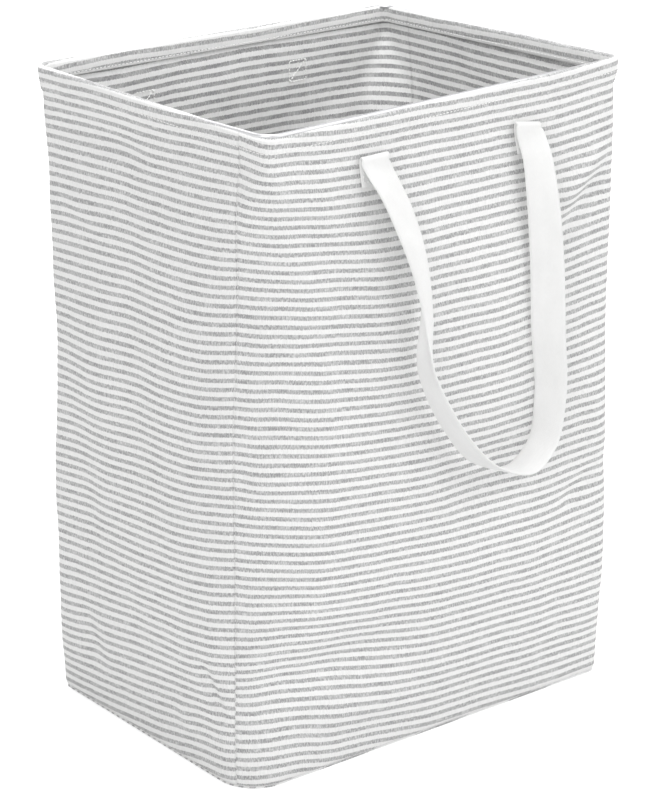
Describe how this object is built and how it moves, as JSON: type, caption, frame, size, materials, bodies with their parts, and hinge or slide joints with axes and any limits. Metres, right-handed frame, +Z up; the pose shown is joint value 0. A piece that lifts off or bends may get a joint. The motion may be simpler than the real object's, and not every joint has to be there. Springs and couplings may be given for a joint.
{
  "type": "laundry hamper",
  "caption": "Tall open-topped laundry basket of striped cloth on a rectangular base, with a wire rim in its folded hem and hanging webbing handles on the broad sides.",
  "frame": {"origin": "on the floor under the middle of the base", "axes": "+Z up, X along the broad front, -Y out of the front that carries the pictured handle"},
  "size_m": [0.437, 0.3868, 0.6],
  "materials": {
    "striped_cloth": "woven cotton with narrow grey and white stripes round the basket",
    "webbing": "white woven webbing",
    "thread": "white sewing thread",
    "wire": "plain drawn steel wire",
    "board": "plain pale stiffening board"
  },
  "bodies": {
    "basket": {"wall_cloth_front_right": "striped_cloth", "wall_cloth_back_left": "striped_cloth", "base_cloth": "striped_cloth", "front_handle_left_end": "webbing", "front_handle_right_end": "webbing", "back_handle_left_end": "webbing", "back_handle_right_end": "webbing", "front_handle_left_stitching": "thread", "front_handle_right_stitching": "thread", "back_handle_left_stitching": "thread", "back_handle_right_stitching": "thread", "hem_stitching": "thread", "near_seam_stitching": "thread", "far_seam_stitching": "thread", "base_seam_stitching": "thread", "rim_wire": "wire", "rim_wire_sleeve": "wire", "base_board": "board"},
    "front_handle": {"front_handle_strap": "webbing"},
    "back_handle": {"back_handle_strap": "webbing"}
  },
  "joints": [
    {"name": "front_handle_swing", "type": "hinge", "parent": "basket", "child": "front_handle", "pos_m": [0, -0.16, 0.562], "axis": [-1, 0, 0], "range_deg": [0, 160]},
    {"name": "back_handle_swing", "type": "hinge", "parent": "basket", "child": "back_handle", "pos_m": [0, 0.16, 0.562], "axis": [1, 0, 0], "range_deg": [0, 160]}
  ]
}
